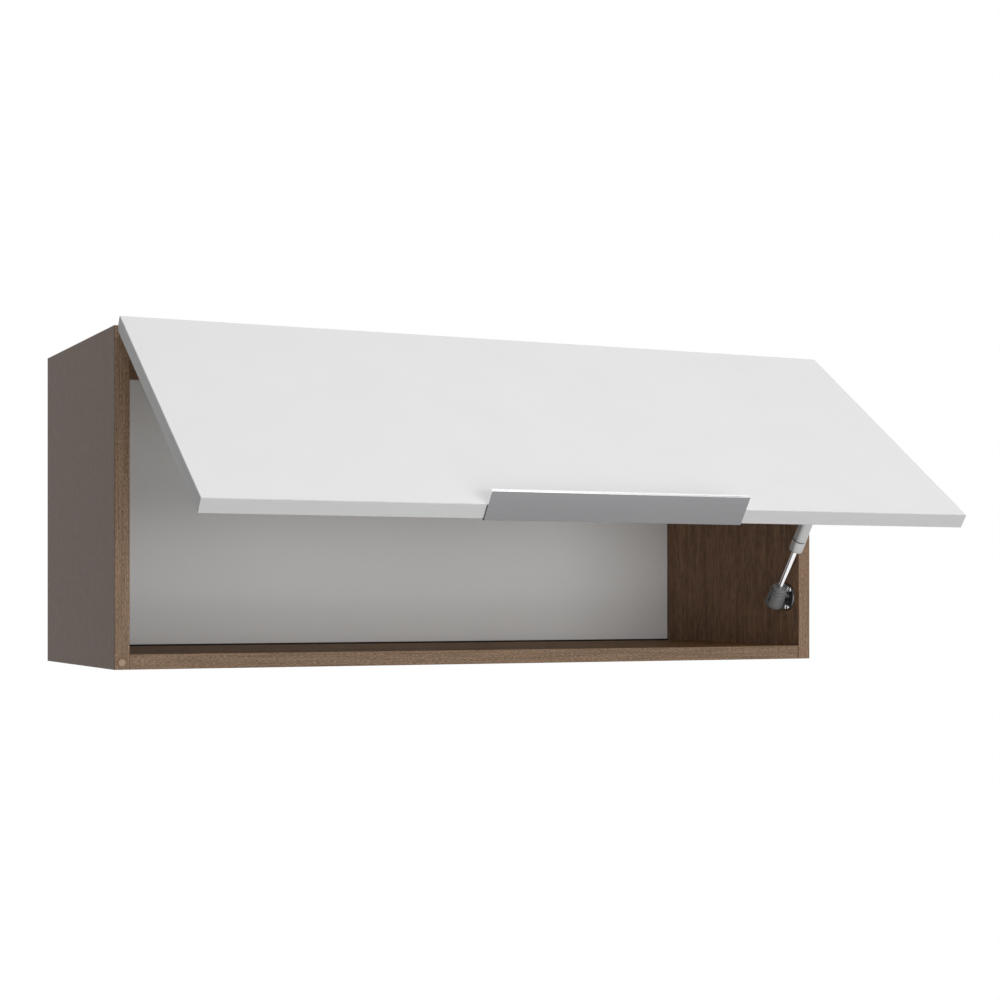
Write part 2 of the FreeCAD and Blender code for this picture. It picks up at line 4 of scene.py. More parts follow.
import bmesh
import bpy
import numpy as np
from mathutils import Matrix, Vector

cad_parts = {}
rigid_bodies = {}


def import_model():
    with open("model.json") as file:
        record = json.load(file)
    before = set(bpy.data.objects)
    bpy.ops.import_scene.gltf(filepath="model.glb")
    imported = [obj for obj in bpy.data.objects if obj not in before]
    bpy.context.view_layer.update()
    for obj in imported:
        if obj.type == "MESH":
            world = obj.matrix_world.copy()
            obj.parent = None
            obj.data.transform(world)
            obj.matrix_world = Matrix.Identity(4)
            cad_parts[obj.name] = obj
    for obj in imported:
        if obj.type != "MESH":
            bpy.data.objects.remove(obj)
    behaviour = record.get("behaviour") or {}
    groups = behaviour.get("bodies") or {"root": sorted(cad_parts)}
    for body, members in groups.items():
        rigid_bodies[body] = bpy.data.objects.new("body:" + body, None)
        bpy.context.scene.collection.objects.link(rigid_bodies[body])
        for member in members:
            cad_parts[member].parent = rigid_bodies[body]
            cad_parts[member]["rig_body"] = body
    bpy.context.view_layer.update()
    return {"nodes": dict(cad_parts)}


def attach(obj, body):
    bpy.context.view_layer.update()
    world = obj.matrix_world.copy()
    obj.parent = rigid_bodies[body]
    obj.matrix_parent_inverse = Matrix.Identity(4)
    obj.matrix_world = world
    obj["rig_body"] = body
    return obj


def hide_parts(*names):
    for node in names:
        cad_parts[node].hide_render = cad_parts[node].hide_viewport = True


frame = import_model()
cadNodes = frame["nodes"]
print("frame loaded:", len(cadNodes), "nodes")

# Everything below is in millimetres until a mesh or a light is made.
# x runs along the cabinet, +y into the wall, +z up, as in the CAD model.
cabinet = {
    "inner": 385.0,          # from the middle to the inner face of a side
    "outer": 400.0,
    "front": -294.0,         # front edges of the boards
    "rear": -3.0,            # where the back panel starts
    "bottom": -290.0,
    "topUnder": 22.3,        # underside of the top panel
    "doorBack": -296.0,      # the next four are of the closed door
    "doorFace": -311.0,
    "doorBottom": -289.9,
    "doorTop": 34.3,
    "pinY": -295.0,
    "pinZ": 36.6,
    "openAngle": 55.0,
}


def toLinear(hexColour):
    # sRGB hex to the linear colour that shaders want
    values = [int(hexColour[i:i + 2], 16) / 255 for i in (1, 3, 5)]
    return [v / 12.92 if v <= 0.04045 else ((v + 0.055) / 1.055) ** 2.4 for v in values] + [1.0]


def addNode(tree, kind, inputs=None, stops=None, **settings):
    # one node with its settings; an input that is a socket is linked, any other is set
    made = tree.nodes.new(kind)
    for key, value in settings.items():
        setattr(made, key, value)
    for key, value in (inputs or {}).items():
        if isinstance(value, bpy.types.NodeSocket):
            tree.links.new(value, made.inputs[key])
        else:
            made.inputs[key].default_value = value
    if stops:
        ramp = made.color_ramp.elements
        while len(ramp) < len(stops):
            ramp.new(0.5)
        for element, (place, colour) in zip(ramp, stops):
            element.position = place
            element.color = toLinear(colour)
    return made


def unit(vector):
    vector = np.asarray(vector, float)
    return vector / np.linalg.norm(vector)


def opened(points):
    # closed-door places turned about the hinge pins to where the door stands open:
    # y' = y cos a + z sin a and z' = -y sin a + z cos a, measured from the pins
    points = np.asarray(points, float)
    angle = math.radians(cabinet["openAngle"])
    y, z = points[..., 1] - cabinet["pinY"], points[..., 2] - cabinet["pinZ"]
    turnedY = y * math.cos(angle) + z * math.sin(angle) + cabinet["pinY"]
    turnedZ = -y * math.sin(angle) + z * math.cos(angle) + cabinet["pinZ"]
    return np.stack([points[..., 0], turnedY, turnedZ], -1)


def filleted(corners, closed=False, steps=6):
    # each corner (across, along, radius) becomes an arc that touches both of its sides
    made = []
    for i, (across, along, radius) in enumerate(corners):
        here = np.array((across, along), float)
        if not radius or (not closed and i in (0, len(corners) - 1)):
            made.append(here[None])
            continue
        before = unit(np.array(corners[i - 1][:2]) - here)
        after = unit(np.array(corners[(i + 1) % len(corners)][:2]) - here)
        half = math.acos(np.clip(before @ after, -1, 1)) / 2
        centre = here + unit(before + after) * radius / math.sin(half)
        start = here + before * radius / math.tan(half) - centre
        end = here + after * radius / math.tan(half) - centre
        swing, part = math.pi - 2 * half, np.linspace(0, 1, steps + 1)[:, None]
        arc = (np.sin((1 - part) * swing) * start + np.sin(part * swing) * end) / math.sin(swing)
        made.append(centre + arc)
    return np.concatenate(made)


def squareTo(axis):
    # two unit directions, square to an axis and to each other
    u = unit(np.cross(axis, (0.0, 0.0, 1.0) if abs(axis[2]) < 0.9 else (1.0, 0.0, 0.0)))
    return u, np.cross(axis, u)


def turned(profile, base, axis, sides=48, closed=False):
    # surface of revolution: base + along * axis + radius * (cos a * u + sin a * w)
    axis = unit(axis)
    u, w = squareTo(axis)
    angle = np.linspace(0, 2 * math.pi, sides, endpoint=False)[:, None]
    ring = np.cos(angle) * u + np.sin(angle) * w
    profile = np.asarray(profile, float)
    grid = np.asarray(base) + profile[:, None, 1:2] * axis + profile[:, None, 0:1] * ring[None]
    return grid, closed, True


def quads(rows, cols, closeRows, closeCols):
    # joins every grid point to its neighbours, round the end where a direction is closed
    a, b = np.meshgrid(np.arange(rows - (not closeRows)), np.arange(cols - (not closeCols)), indexing="ij")
    nextA, nextB = (a + 1) % rows, (b + 1) % cols
    corners = [a * cols + b, nextA * cols + b, nextA * cols + nextB, a * cols + nextB]
    return np.stack(corners, -1).reshape(-1, 4)


weldDistance, shortestEdge = 2e-6, 1e-7      # metres


def finishMesh(mesh, sharpAngle):
    # welds the seams, turns the faces outwards and leaves only real edges sharp
    work = bmesh.new()
    work.from_mesh(mesh)
    bmesh.ops.remove_doubles(work, verts=work.verts, dist=weldDistance)
    bmesh.ops.dissolve_degenerate(work, edges=work.edges, dist=shortestEdge)
    bmesh.ops.recalc_face_normals(work, faces=work.faces)
    work.to_mesh(mesh)
    work.free()
    mesh.polygons.foreach_set("use_smooth", np.ones(len(mesh.polygons), bool))
    mesh.set_sharp_from_angle(angle=math.radians(sharpAngle))


def standFor(name, mesh, material, node):
    # puts a finished mesh in the scene in place of its CAD node
    piece = bpy.data.objects.new(name, mesh)
    bpy.context.scene.collection.objects.link(piece)
    mesh.materials.clear()
    mesh.materials.append(material)
    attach(piece, cadNodes[node]["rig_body"])
    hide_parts(node)
    return piece


def makePiece(name, patches, material, node, ends=(), sharpAngle=35):
    # patches are grids of points with whether their rows and columns close; ends are flat closing loops
    points, faces, start = [], [], 0
    for grid, closeRows, closeCols in patches:
        rows, cols = grid.shape[:2]
        faces += (quads(rows, cols, closeRows, closeCols) + start).tolist()
        points.append(grid.reshape(-1, 3))
        start += rows * cols
    for loop in ends:
        faces.append(list(range(start, start + len(loop))))
        points.append(loop)
        start += len(loop)
    mesh = bpy.data.meshes.new(name)
    mesh.from_pydata((np.concatenate(points) / 1000).tolist(), [], faces)
    finishMesh(mesh, sharpAngle)
    standFor(name, mesh, material, node)


deburring = {                # degrees between two faces that meet
    "flat": 0.5,             # under this they become one face
    "sharp": 35,             # over this their edge is drawn hard
    "broken": 40,            # over this their edge is broken
}


def softened(name, node, material, width, segments=2):
    # a welded copy of a pressed or cut CAD piece with its edges broken as deburring leaves them
    d = deburring
    mesh = cadNodes[node].data.copy()
    mesh.name = name
    work = bmesh.new()
    work.from_mesh(mesh)
    bmesh.ops.remove_doubles(work, verts=work.verts, dist=weldDistance)
    bmesh.ops.dissolve_limit(work, angle_limit=math.radians(d["flat"]), verts=work.verts, edges=work.edges)
    work.to_mesh(mesh)
    work.free()
    finishMesh(mesh, d["sharp"])
    piece = standFor(name, mesh, material, node)
    bevel = piece.modifiers.new("deburredEdges", "BEVEL")
    bevel.width = width / 1000
    bevel.segments = segments
    bevel.limit_method = "ANGLE"
    bevel.angle_limit = math.radians(d["broken"])


def look(tree, place, spec):
    # layers of stretched noise add up to one number that picks the colour, the roughness and the relief
    total = None
    for layer in spec["layers"]:
        cell = [1000 / size for size in layer["cell"]]
        mapping = addNode(tree, "ShaderNodeMapping", {"Vector": place, "Scale": cell})
        if layer.get("chips"):
            pattern = addNode(tree, "ShaderNodeTexVoronoi", {"Vector": mapping.outputs[0], "Scale": 1.0})
            value = addNode(tree, "ShaderNodeSeparateColor", {"Color": pattern.outputs["Color"]}).outputs[0]
        else:
            value = addNode(tree, "ShaderNodeTexNoise", {
                "Vector": mapping.outputs[0], "Scale": 1.0, "Detail": layer.get("detail", 3.0),
                "Roughness": 0.55}).outputs["Fac"]
        part = addNode(tree, "ShaderNodeMath", {0: value, 1: layer["weight"]},
                       operation="MULTIPLY").outputs[0]
        if total is None:
            total = part
        else:
            total = addNode(tree, "ShaderNodeMath", {0: total, 1: part}, operation="ADD").outputs[0]
    colour = addNode(tree, "ShaderNodeValToRGB", {"Fac": total}, stops=spec["stops"]).outputs["Color"]
    height = total
    if spec.get("pits"):
        pits = spec["pits"]
        cell = [1000 / size for size in pits["cell"]]
        mapping = addNode(tree, "ShaderNodeMapping", {"Vector": place, "Scale": cell})
        noise = addNode(tree, "ShaderNodeTexNoise", {
            "Vector": mapping.outputs[0], "Scale": 1.0, "Detail": 2.0})
        depth = addNode(tree, "ShaderNodeMapRange", {
            "Value": noise.outputs["Fac"], "From Min": pits["from"], "From Max": pits["to"]}).outputs[0]
        share = addNode(tree, "ShaderNodeMath", {0: depth, 1: pits["share"]}, operation="MULTIPLY").outputs[0]
        # a Mix node's two colours are its inputs 6 and 7, its two plain numbers are 2 and 3
        colour = addNode(tree, "ShaderNodeMix", {"Factor": share, 6: colour, 7: toLinear(pits["colour"])},
                         data_type="RGBA").outputs[2]
        height = addNode(tree, "ShaderNodeMath", {0: total, 1: depth}, operation="SUBTRACT").outputs[0]
    low, high = spec["roughness"]
    rough = addNode(tree, "ShaderNodeMapRange", {
        "Value": total, "From Min": 0.3, "From Max": 0.7, "To Min": low, "To Max": high}).outputs[0]
    relief = addNode(tree, "ShaderNodeMath", {0: height, 1: spec["relief"]}, operation="MULTIPLY").outputs[0]
    return colour, rough, relief


def facing(axes, low=0.6, high=0.8):
    # a mask for faces of the resting boards whose normal lies along one of the axes, such as sawn ends
    def mask(tree, place):
        normal = addNode(tree, "ShaderNodeNewGeometry").outputs["Normal"]
        picked = addNode(tree, "ShaderNodeVectorMath", {0: normal, 1: axes}, operation="MULTIPLY").outputs[0]
        size = addNode(tree, "ShaderNodeVectorMath", {0: picked}, operation="LENGTH").outputs["Value"]
        return addNode(tree, "ShaderNodeMapRange", {
            "Value": size, "From Min": low, "From Max": high}).outputs[0]
    return mask


def beyond(direction, distance, blend=0.15):
    # a mask for the part of a piece that lies further along direction than distance, in mm
    def mask(tree, place):
        along = addNode(tree, "ShaderNodeVectorMath", {0: place, 1: tuple(unit(direction))},
                        operation="DOT_PRODUCT").outputs["Value"]
        return addNode(tree, "ShaderNodeMapRange", {
            "Value": along, "From Min": (distance - blend) / 1000,
            "From Max": (distance + blend) / 1000}).outputs[0]
    return mask


def both(first, second):
    # a mask for where two masks meet
    def mask(tree, place):
        return addNode(tree, "ShaderNodeMath", {0: first(tree, place), 1: second(tree, place)},
                       operation="MULTIPLY").outputs[0]
    return mask


def surface(name, face, *others, **sockets):
    # face is the look of the finished surface; each of the others is a mask and the look that shows there
    material = bpy.data.materials.new(name)
    material.use_nodes = True
    tree = material.node_tree
    tree.nodes.clear()
    place = addNode(tree, "ShaderNodeTexCoord").outputs["Object"]
    colour, rough, relief = look(tree, place, face)
    for masked, spec in others:
        mask = masked(tree, place)
        newColour, newRough, newRelief = look(tree, place, spec)
        colour = addNode(tree, "ShaderNodeMix", {"Factor": mask, 6: colour, 7: newColour},
                         data_type="RGBA").outputs[2]
        rough = addNode(tree, "ShaderNodeMix", {"Factor": mask, 2: rough, 3: newRough}).outputs[0]
        relief = addNode(tree, "ShaderNodeMix", {"Factor": mask, 2: relief, 3: newRelief}).outputs[0]
    # a look's relief is a share of one millimetre
    bump = addNode(tree, "ShaderNodeBump", {"Height": relief, "Strength": 1.0, "Distance": 0.001}).outputs[0]
    shader = addNode(tree, "ShaderNodeBsdfPrincipled", {
        "Base Color": colour, "Roughness": rough, "Normal": bump, **sockets})
    addNode(tree, "ShaderNodeOutputMaterial", {"Surface": shader.outputs[0]})
    return material


# Walnut print: layers of streaks, each (width, length, weight, detail) in mm, and dark pores that
# sink a little. The streaks run from slow bands of tone down to fibres. A print's shades go from
# the dark late wood to the pale early wood.
boardGrain = {
    "streaks": ((26.0, 500.0, 0.18, 1.0), (6.5, 90.0, 0.32, 3.0), (2.0, 13.0, 0.5, 3.0)),
    "pore": (1.4, 10.0), "poreFrom": 0.57, "poreTo": 0.67, "poreShare": 0.5,
    "roughness": (0.5, 0.6), "relief": 0.03,
}
# The narrow strips carry a livelier print: long thin streaks, short fibres and specks 1 mm long.
stripGrain = {
    "streaks": ((1.1, 60.0, 0.2, 1.0), (0.7, 3.6, 0.5, 2.0), (0.6, 1.0, 0.3, 1.0)),
    "pore": (0.6, 6.0), "poreFrom": 0.6, "poreTo": 0.7, "poreShare": 0.6,
    "roughness": (0.55, 0.65), "relief": 0.04,
}
# the print's shades per board: the left side's grey and the deep one of top and bottom are painted shade, the
# right side's warm one is painted light, and the darker strip copy is painted shade
shades = {
    "grey": ((0.38, "#4F3E2F"), (0.47, "#614C3D"), (0.53, "#6D5848"), (0.62, "#806957")),
    "warm": ((0.38, "#674E3A"), (0.47, "#7E6149"), (0.53, "#8C6C53"), (0.62, "#9F7E63")),
    "deep": ((0.38, "#624730"), (0.47, "#81623F"), (0.53, "#94714F"), (0.62, "#AB875F")),
    "strip": ((0.38, "#554233"), (0.47, "#7C644F"), (0.53, "#8F755E"), (0.62, "#AD8F75")),
    "stripPaintedShade": ((0.38, "#524031"), (0.47, "#78614C"), (0.53, "#8A715B"), (0.62, "#A78A71")),
    "pore": "#3A2A1C",
}


def walnutLook(alongAxis, grain, shade):
    # one print with its grain along one axis
    def cell(across, along):
        return tuple(along if axis == alongAxis else across for axis in range(3))
    return {
        "layers": [{"cell": cell(width, length), "weight": weight, "detail": detail}
                   for width, length, weight, detail in grain["streaks"]],
        "stops": shades[shade],
        "pits": {"cell": cell(*grain["pore"]), "from": grain["poreFrom"], "to": grain["poreTo"],
                 "share": grain["poreShare"], "colour": shades["pore"]},
        "roughness": grain["roughness"], "relief": grain["relief"],
    }


# Sawn particle board: pale chips 1 to 3 mm long in darker glue.
chipboard = {
    "layers": [{"cell": (2.4, 2.4, 1.2), "weight": 0.7, "chips": True},
               {"cell": (0.7, 0.7, 0.7), "weight": 0.3}],
    "stops": [(0.1, "#7C5E40"), (0.4, "#A98A62"), (0.65, "#C2A47A"), (0.9, "#D8BF97")],
    "roughness": (0.8, 0.95), "relief": 0.25,
}
# The strip's own colour where it was trimmed flush: warmer and plainer than its print.
trimmedStrip = {
    "layers": [{"cell": (1.5, 1.5, 1.5), "weight": 1.0}],
    "stops": [(0.35, "#4E3321"), (0.65, "#60402A")],
    "roughness": (0.4, 0.5), "relief": 0.02,
}
upright, lengthways = 2, 0
rounding = facing((1, 0, 1), 0.3, 0.55)

# One walnut print on every board, tinted board by board for how light falls on it: the left side's greyer,
# darker copy is painted shade, the right side's warmer, paler copy is painted light, and the deeper copy on
# the top and bottom is painted shade. The strips on the left, top and bottom take a darker copy of the strip
# print than the right side's strip: painted shade.
# painted shade: the left side's greyer, darker copy of the print
walnutPaintedShadeLeft = surface("walnutPrintWithPaintedShadeLeft", walnutLook(upright, boardGrain, "grey"),
                             (facing((0, 1, 1)), chipboard), **{"Specular IOR Level": 0.28})
# painted light: the right side's warmer, paler copy of the print
walnutPaintedLightRight = surface("walnutPrintWithPaintedLightRight", walnutLook(upright, boardGrain, "warm"),
                             (facing((0, 1, 1)), chipboard), **{"Specular IOR Level": 0.2})
# painted shade: the deeper copy of the print on the top and bottom
walnutPaintedShadeLengthways = surface("walnutPrintWithPaintedShadeLengthways", walnutLook(lengthways, boardGrain, "deep"),
                             (facing((1, 1, 0)), chipboard), **{"Specular IOR Level": 0.03})
printedStripUpright = surface("printedAbsStripUpright", walnutLook(upright, stripGrain, "strip"),
                              (rounding, trimmedStrip), **{"Specular IOR Level": 0.25})
# painted shade: a darker copy of the strip print for the left side
printedStripPaintedShadeLeft = surface("printedAbsStripWithPaintedShadeLeft", walnutLook(upright, stripGrain, "stripPaintedShade"),
                           (rounding, trimmedStrip), **{"Specular IOR Level": 0.25})
# painted shade: a darker copy of the strip print for the top and bottom
printedStripPaintedShadeLengthways = surface("printedAbsStripWithPaintedShadeLengthways", walnutLook(lengthways, stripGrain, "stripPaintedShade"),
                                 (rounding, trimmedStrip), **{"Specular IOR Level": 0.25})

# White melamine, pressed against a pearl plate: a pebble about 1 mm across softens its reflections.
whiteMelamine = surface("pearlWhiteMelamine", {
    "layers": [{"cell": (1.2, 1.2, 1.2), "weight": 0.6, "detail": 2.0},
               {"cell": (60, 60, 60), "weight": 0.4, "detail": 1.0}],
    "stops": [(0.3, "#E9E9E9"), (0.7, "#EDEDED")], "roughness": (0.42, 0.52), "relief": 0.015})
# White ABS edge strip, scraped after trimming: a touch glossier than the board, with faint scrape lines. Its
# grey, darker than the board's white, is painted shade on the door's edges.
whiteStripWithPaintedShade = surface("scrapedWhiteAbsStripWithPaintedShade", {
    "layers": [{"cell": (40.0, 0.9, 0.9), "weight": 1.0, "detail": 2.0}],
    "stops": [(0.3, "#CDCDCD"), (0.7, "#D1D1D1")], "roughness": (0.34, 0.42), "relief": 0.01},
    **{"Specular IOR Level": 0.25})
# Hardboard back: lacquered grey-white and a little pebbled inside, raw brown fibre on its hidden face and
# edges. A dark band along the lower and the right-hand margin, where the back meets the bottom and the right
# side, is painted shade.
rawFibre = {
    "layers": [{"cell": (0.9, 0.9, 0.9), "weight": 0.5, "detail": 4.0},
               {"cell": (9.0, 9.0, 9.0), "weight": 0.5}],
    "stops": [(0.3, "#6B5138"), (0.5, "#7D6145"), (0.7, "#8E7152")],
    "roughness": (0.85, 0.95), "relief": 0.12,
}
# painted shade for the corners where the back meets the bottom and the right side
paintedCornerShade = {
    "layers": [{"cell": (3.0, 3.0, 3.0), "weight": 1.0}],
    "stops": [(0.3, "#18120D"), (0.7, "#241A12")], "roughness": (0.85, 0.95), "relief": 0.03,
}
# low and right: where the painted corner shade starts, in mm; hiddenSkin: depth of the raw rear face
margin = {"low": 273.1, "right": 384.0, "hiddenSkin": 0.5}
hardboard = surface("lacquerRolledHardboard", {
    "layers": [{"cell": (1.6, 1.6, 1.6), "weight": 0.6}, {"cell": (90, 90, 90), "weight": 0.4}],
    "stops": [(0.3, "#ECEDED"), (0.7, "#EFF0F0")], "roughness": (0.7, 0.8), "relief": 0.015},
    (beyond((0, 0, -1), margin["low"]), paintedCornerShade), (beyond((1, 0, 0), margin["right"]), paintedCornerShade),
    (facing((1, 0, 1)), rawFibre), (beyond((0, 1, 0), -margin["hiddenSkin"]), rawFibre))

# Zinc-plated pressed steel: cool, slightly blue, cloudy from the plating bath.
zincSteel = surface("brightZincPlatedSteel", {
    "layers": [{"cell": (6.0, 6.0, 6.0), "weight": 0.6, "detail": 4.0},
               {"cell": (0.8, 0.8, 0.8), "weight": 0.4}],
    "stops": [(0.3, "#A8ACB0"), (0.7, "#C2C6CA")], "roughness": (0.28, 0.42), "relief": 0.006}, Metallic=1.0)
# Die-cast zinc: duller and grainy.
castZinc = surface("dieCastZinc", {
    "layers": [{"cell": (0.7, 0.7, 0.7), "weight": 1.0, "detail": 3.0}],
    "stops": [(0.3, "#8E9092"), (0.7, "#A9ABAD")], "roughness": (0.45, 0.6), "relief": 0.04}, Metallic=1.0)
# Chrome-plated screws: bright, with light handling marks.
screwChrome = surface("chromePlatedScrewSteel", {
    "layers": [{"cell": (1.4, 1.4, 1.4), "weight": 1.0, "detail": 4.0}],
    "stops": [(0.3, "#D2D2D4"), (0.7, "#DEDEE0")], "roughness": (0.12, 0.22), "relief": 0.003}, Metallic=1.0)
# Hard chrome on the ground piston rod: mirror-bright with faint rings from grinding.
rodChrome = surface("groundHardChrome", {
    "layers": [{"cell": (9.0, 0.5, 0.5), "weight": 1.0, "detail": 2.0}],
    "stops": [(0.3, "#EDEDEE"), (0.7, "#F5F5F6")], "roughness": (0.03, 0.07), "relief": 0.0005}, Metallic=1.0)
# Silver stoved enamel on the pressure tube: metal flake under a clear satin coat, dark towards the cabinet
# and bright towards the room.
tubePaint = surface("silverStovedEnamel", {
    "layers": [{"cell": (2.5, 2.5, 2.5), "weight": 0.7, "detail": 2.0},
               {"cell": (14, 14, 14), "weight": 0.3}],
    "stops": [(0.3, "#AEAEAD"), (0.7, "#B4B4B3")], "roughness": (0.5, 0.55), "relief": 0.0005},
    **{"Metallic": 1.0, "Coat Weight": 0.6, "Coat Roughness": 0.25})
# Moulded glass-filled nylon sockets: dark grey, softly eroded surface.
socketPlastic = surface("mouldedGlassFilledNylon", {
    "layers": [{"cell": (0.8, 0.8, 0.8), "weight": 0.6, "detail": 3.0}, {"cell": (5, 5, 5), "weight": 0.4}],
    "stops": [(0.3, "#676768"), (0.7, "#757575")], "roughness": (0.38, 0.5), "relief": 0.02})
# Dark plated steel of the side plate: an oily sheen, lighter where handled.
plateSteel = surface("darkPlatedPressedSteel", {
    "layers": [{"cell": (3.0, 3.0, 3.0), "weight": 0.7, "detail": 4.0},
               {"cell": (0.6, 0.6, 0.6), "weight": 0.3}],
    "stops": [(0.3, "#68686A"), (0.7, "#78787A")], "roughness": (0.3, 0.45), "relief": 0.01}, Metallic=1.0)
# Moulded cover discs, brown to match the print.
coverPlastic = surface("mouldedBrownCover", {
    "layers": [{"cell": (1.0, 1.0, 1.0), "weight": 1.0}],
    "stops": [(0.3, "#5F4836"), (0.7, "#6B523F")], "roughness": (0.45, 0.55), "relief": 0.02})
# Turned beech dowels.
beech = surface("turnedBeech", {
    "layers": [{"cell": (14.0, 0.8, 0.8), "weight": 1.0, "detail": 3.0}],
    "stops": [(0.3, "#C59F74"), (0.7, "#D9B88E")], "roughness": (0.6, 0.75), "relief": 0.05})
# Moulded guide ring and piston: off-white acetal.
guidePlastic = surface("mouldedAcetalGuide", {
    "layers": [{"cell": (1.0, 1.0, 1.0), "weight": 1.0}],
    "stops": [(0.3, "#C8C6BE"), (0.7, "#D2D0C8")], "roughness": (0.35, 0.45), "relief": 0.01})
# Nitrile seal: matt black.
sealRubber = surface("mouldedNitrileRubber", {
    "layers": [{"cell": (0.6, 0.6, 0.6), "weight": 1.0}],
    "stops": [(0.3, "#1B1B1C"), (0.7, "#252526")], "roughness": (0.7, 0.85), "relief": 0.02})
# Polyurethane buffer: beige, slightly see-through at its rim, satin.
bumperRubber = surface("castPolyurethaneBuffer", {
    "layers": [{"cell": (1.5, 1.5, 1.5), "weight": 1.0}],
    "stops": [(0.3, "#97765A"), (0.7, "#A08063")], "roughness": (0.4, 0.5), "relief": 0.01},
    **{"Subsurface Weight": 0.1})

finishOfNode = {
    "left_side_panel": walnutPaintedShadeLeft, "right_side_panel": walnutPaintedLightRight,
    "top_panel": walnutPaintedShadeLengthways, "bottom_panel": walnutPaintedShadeLengthways,
    "back_panel": hardboard, "door_panel": whiteMelamine,
    "door_bottom_band": whiteStripWithPaintedShade, "door_top_band": whiteStripWithPaintedShade,
    "door_left_band": whiteStripWithPaintedShade, "door_right_band": whiteStripWithPaintedShade,
    "cam_locks": castZinc, "cam_covers": coverPlastic, "cam_bolts": zincSteel,
    "dowels": beech, "back_nails": zincSteel,
    "piston": guidePlastic, "piston_ring": sealRubber, "rod_guide": guidePlastic, "rod_seal": sealRubber,
    "tube_end_plug": zincSteel,
}
for name, material in finishOfNode.items():
    cadNodes[name].data.materials.clear()
    cadNodes[name].data.materials.append(material)
print("materials made:", len(bpy.data.materials))


strips = {
    "thickness": 0.8, "rounding": 0.65, "board": 15.0, "sideTop": 41.0, "topSetback": 1.6,
    "jointGap": 0.6,         # the bottom strip was cut this much short at its right-hand end
}


def makeStrips():
    # each strip is its cross-section, flat against the board and rounded in front, carried along the board
    c, s = cabinet, strips
    section = filleted([
        (0, 0, 0), (0, -s["thickness"], s["rounding"]),
        (s["board"], -s["thickness"], s["rounding"]), (s["board"], 0, 0)], closed=True, steps=5)
    for name, node, material, low, high, back in (
            ("leftSideStrip", "left_side_edge_band", printedStripPaintedShadeLeft,
             (-c["outer"], c["bottom"]), (0, s["sideTop"]), 0.0),
            ("rightSideStrip", "right_side_edge_band", printedStripUpright,
             (c["inner"], c["bottom"]), (0, s["sideTop"]), 0.0),
            ("bottomStrip", "bottom_edge_band", printedStripPaintedShadeLengthways,
             (-c["inner"], c["bottom"]), (c["inner"] - s["jointGap"], 0), 0.0),
            ("topStrip", "top_edge_band", printedStripPaintedShadeLengthways,
             (-c["inner"], c["topUnder"]), (c["inner"], 0), s["topSetback"])):
        standing = material is not printedStripPaintedShadeLengthways
        grid = np.empty((2, len(section), 3))
        grid[..., 1] = section[:, 1] + c["front"] + back + s["thickness"]
        grid[..., 0] = low[0] + section[:, 0] if standing else np.array([[low[0]], [high[0]]])
        grid[..., 2] = np.array([[low[1]], [high[1]]]) if standing else low[1] + section[:, 0]
        makePiece(name, [(grid, False, True)], material, node, ends=(grid[0], grid[1][::-1]))


makeStrips()
print("edge strips made")

handle = {
    "length": 270.0, "reach": 15.2, "plate": 1.5, "flange": 1.4, "flangeHeight": 20.0,
    "lip": 4.2, "lipThickness": 1.2, "outerFold": 1.4, "crispEdge": 0.45, "innerFold": 0.5,
    "groove": (0.5, 1.4), "grooveDepth": 0.6, "grooveEdge": 0.1,
    "brightSkin": 0.2,       # depth of the bright cut into the lip's front
    "stations": 19,          # cross-sections along the length
}
# Satin anodised aluminium, extruded and brushed lengthways: an even soft grey. The front of its lip is a
# bright cut that mirrors the room, set near white, which also paints in its highlight; its sawn ends carry a
# painted highlight where they stand over the door face and painted shade where they lie on the door.
# near-white mirror finish: a bright cut on the lip's front, partly a painted highlight, and a painted
# highlight on the ends
brightCutAndPaintedHighlight = {
    "layers": [{"cell": (90.0, 0.6, 0.6), "weight": 1.0}],
    "stops": [(0.3, "#F6F6F7"), (0.7, "#FBFBFC")], "roughness": (0.1, 0.16), "relief": 0.001,
}
# painted shade on the sawn ends where they lie on the door
paintedEndShade = {
    "layers": [{"cell": (0.6, 5.0, 5.0), "weight": 1.0}],
    "stops": [(0.3, "#1E1E1F"), (0.7, "#2A2A2B")], "roughness": (0.6, 0.75), "relief": 0.01,
}
openDoorFront = opened([(0, -1, 0)])[0] - opened([(0, 0, 0)])[0]
lipFront = opened([(0, cabinet["doorFace"] - handle["reach"] + handle["brightSkin"], 0)])[0] @ openDoorFront
onDoor = -opened([(0, cabinet["doorFace"], 0)])[0] @ openDoorFront
anodisedAluminium = surface("brushedAnodisedAluminium", {
    "layers": [{"cell": (70.0, 0.8, 0.8), "weight": 0.8, "detail": 3.0},
               {"cell": (120, 12, 12), "weight": 0.2}],
    "stops": [(0.3, "#858587"), (0.7, "#89898A")], "roughness": (0.45, 0.5), "relief": 0.004},
    (beyond(openDoorFront, lipFront, 0.1), brightCutAndPaintedHighlight),
    # the sawn ends: painted highlight, and painted shade where they lie on the door
    (facing((1, 0, 0)), brightCutAndPaintedHighlight),
    (both(facing((1, 0, 0)), beyond(-openDoorFront, onDoor)), paintedEndShade), Metallic=1.0)


